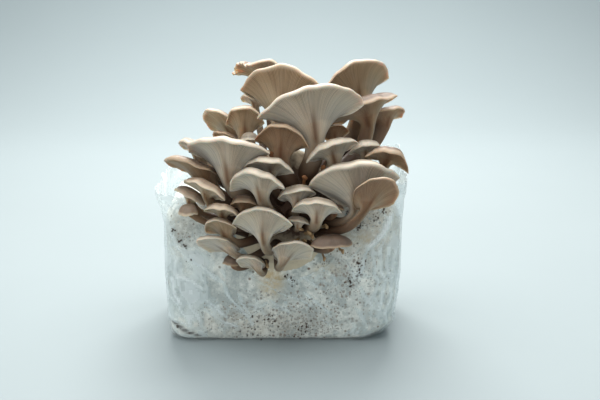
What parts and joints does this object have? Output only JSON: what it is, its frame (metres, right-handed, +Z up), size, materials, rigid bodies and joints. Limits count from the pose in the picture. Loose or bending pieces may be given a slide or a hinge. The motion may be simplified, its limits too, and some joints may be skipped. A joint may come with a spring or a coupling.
{
  "type": "oyster mushroom grow bag",
  "caption": "Clear film grow bag packed with white mycelium block, with a dense cluster of oyster mushrooms fruiting from an opening in its front.",
  "frame": {"origin": "centre of the bag's flat bottom, on the surface that it stands on", "axes": "+Z up, +X to the viewer's right, -Y the front that the mushrooms grow out of"},
  "size_m": [0.2178, 0.1873, 0.2432],
  "materials": {
    "film": "clear thin film, crinkled",
    "mycelium": null,
    "cluster_flesh": null,
    "pale_flesh": null,
    "warm_flesh": null,
    "brown_flesh": null
  },
  "bodies": {
    "root": {"bag": "film", "substrate_block": "mycelium", "cluster_base": "cluster_flesh", "mushroom_01": "warm_flesh", "mushroom_02": "warm_flesh", "mushroom_03": "pale_flesh", "mushroom_04": "warm_flesh", "mushroom_05": "brown_flesh", "mushroom_06": "brown_flesh", "mushroom_07": "brown_flesh", "mushroom_08": "warm_flesh", "mushroom_09": "warm_flesh", "mushroom_10": "brown_flesh", "mushroom_11": "pale_flesh", "mushroom_12": "brown_flesh", "mushroom_13": "pale_flesh", "mushroom_14": "pale_flesh", "mushroom_15": "pale_flesh", "mushroom_16": "brown_flesh", "mushroom_17": "warm_flesh", "mushroom_18": "warm_flesh", "mushroom_19": "warm_flesh", "mushroom_20": "pale_flesh", "mushroom_21": "pale_flesh", "mushroom_22": "brown_flesh", "mushroom_23": "warm_flesh", "mushroom_24": "brown_flesh", "mushroom_25": "pale_flesh", "mushroom_26": "pale_flesh", "mushroom_27": "pale_flesh", "mushroom_28": "pale_flesh", "mushroom_29": "brown_flesh", "mushroom_30": "pale_flesh", "mushroom_31": "brown_flesh", "mushroom_32": "pale_flesh", "mushroom_33": "brown_flesh", "mushroom_34": "brown_flesh", "mushroom_35": "warm_flesh", "mushroom_36": "pale_flesh", "mushroom_37": "pale_flesh", "mushroom_38": "pale_flesh", "mushroom_39": "pale_flesh", "mushroom_40": "brown_flesh"}
  },
  "joints": []
}
